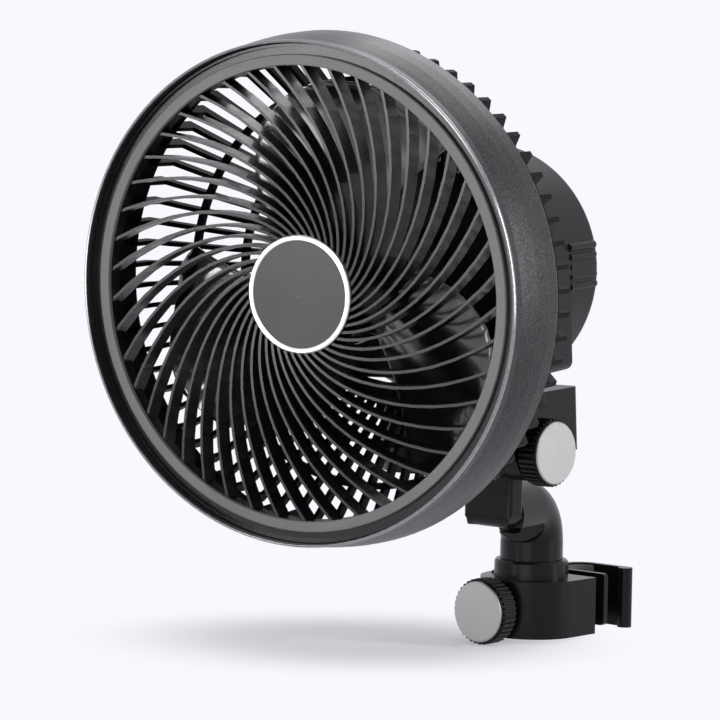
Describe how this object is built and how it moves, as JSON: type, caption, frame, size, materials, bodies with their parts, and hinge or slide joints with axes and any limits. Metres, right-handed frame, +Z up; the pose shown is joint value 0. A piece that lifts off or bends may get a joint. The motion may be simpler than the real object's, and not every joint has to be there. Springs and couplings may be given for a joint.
{
  "type": "clip fan",
  "caption": "Round fan head with a spiral front grille on a panning and tilting bracket, with a screw clamp that grips an upright post.",
  "frame": {"origin": "axis of the gripped post at the middle height of the clamp hook", "axes": "+Z up along the post, front toward -Y, +X to the right seen from the front"},
  "size_m": [0.2147, 0.2772, 0.2761],
  "materials": {
    "black_plastic": "satin",
    "dark_plastic": "satin",
    "bezel_paint": "metallic lacquer",
    "silver_plating": "bright plated plastic",
    "grey_plastic": "satin",
    "badge_plastic": "satin",
    "brushed_disc": "brushed",
    "steel": "zinc plated",
    "brass": "plain",
    "rubber": "matt",
    "blade_plastic": "satin",
    "acetal": "natural",
    "motor_metal": "plain",
    "copper": "enamelled wire",
    "board": "solder mask",
    "cell_wrap": "shrink wrap"
  },
  "bodies": {
    "clamp": {"clamp_block": "dark_plastic", "clamp_insert": "brass", "collar_ring": "dark_plastic", "collar_pin": "dark_plastic", "jaw_hook": "dark_plastic", "hook_liner": "rubber", "hook_screws": "steel"},
    "jaw": {"jaw_plate": "dark_plastic", "jaw_pad": "rubber"},
    "clamp_knob": {"clamp_knob": "black_plastic", "clamp_knob_disc": "brushed_disc", "clamp_screw": "steel", "screw_clips": "steel"},
    "arm": {"swivel_arm": "dark_plastic", "tilt_nut": "steel"},
    "tilt_knob": {"tilt_knob": "black_plastic", "tilt_knob_disc": "brushed_disc", "tilt_bolt": "steel"},
    "bracket": {"swivel_bracket": "black_plastic", "bracket_lid": "black_plastic", "lid_screws": "steel", "thrust_washer": "acetal", "tilt_washers": "steel"},
    "head": {"neck": "black_plastic", "spindle_clip": "steel", "housing": "dark_plastic", "rear_cover": "dark_plastic", "cover_screws": "steel", "usb_socket": "steel", "circuit_board": "board", "battery_cells": "cell_wrap", "motor_can": "motor_metal", "motor_stator": "copper", "motor_bearings": "steel", "rear_grille": "black_plastic", "bezel": "bezel_paint", "bezel_rim": "silver_plating", "front_grille": "black_plastic", "front_ring": "grey_plastic", "hub_badge": "badge_plastic", "hub_ring": "silver_plating"},
    "wheel": {"fan_wheel": "blade_plastic", "spinner": "black_plastic", "motor_shaft": "steel", "motor_rotor": "steel"},
    "power_button": {"power_button": "grey_plastic"}
  },
  "joints": [
    {"name": "jaw_slide", "type": "slide", "parent": "clamp", "child": "jaw", "axis": [0, 1, 0], "range_m": [-0.006, 0.003]},
    {"name": "clamp_knob_turn", "type": "hinge", "parent": "jaw", "child": "clamp_knob", "pos_m": [0, -0.04, -0.001], "axis": [0, 1, 0], "range_deg": [-2160, 1080]},
    {"name": "arm_swivel", "type": "hinge", "parent": "clamp", "child": "arm", "pos_m": [0, -0.04, -0.001], "axis": [0, 0, 1], "range_deg": [-90, 90]},
    {"name": "tilt_knob_turn", "type": "hinge", "parent": "arm", "child": "tilt_knob", "pos_m": [0.01, -0.0812, 0.077], "axis": [1, 0, 0], "range_deg": [-360, 180]},
    {"name": "head_tilt", "type": "hinge", "parent": "arm", "child": "bracket", "pos_m": [0.01, -0.0812, 0.077], "axis": [1, 0, 0], "range_deg": [-19.1, 40.9]},
    {"name": "head_pan", "type": "hinge", "parent": "bracket", "child": "head", "pos_m": [0.01, -0.12339, 0.07398], "axis": [0, -0.0715, 0.9974], "range_deg": [-56.7, 33.3]},
    {"name": "blade_spin", "type": "hinge", "parent": "head", "child": "wheel", "pos_m": [0.033, -0.24015, 0.14972], "axis": [0.2028, -0.9767, -0.07], "continuous": true},
    {"name": "power_press", "type": "slide", "parent": "head", "child": "power_button", "axis": [0.2028, -0.9767, -0.07], "range_m": [0, 0.0015], "stiffness_N_per_m": 400, "springref_m": -0.001}
  ],
  "couplings": [
    {"joint": "clamp_knob_turn", "follows": "jaw_slide", "rad_per_m": 6283.2}
  ]
}
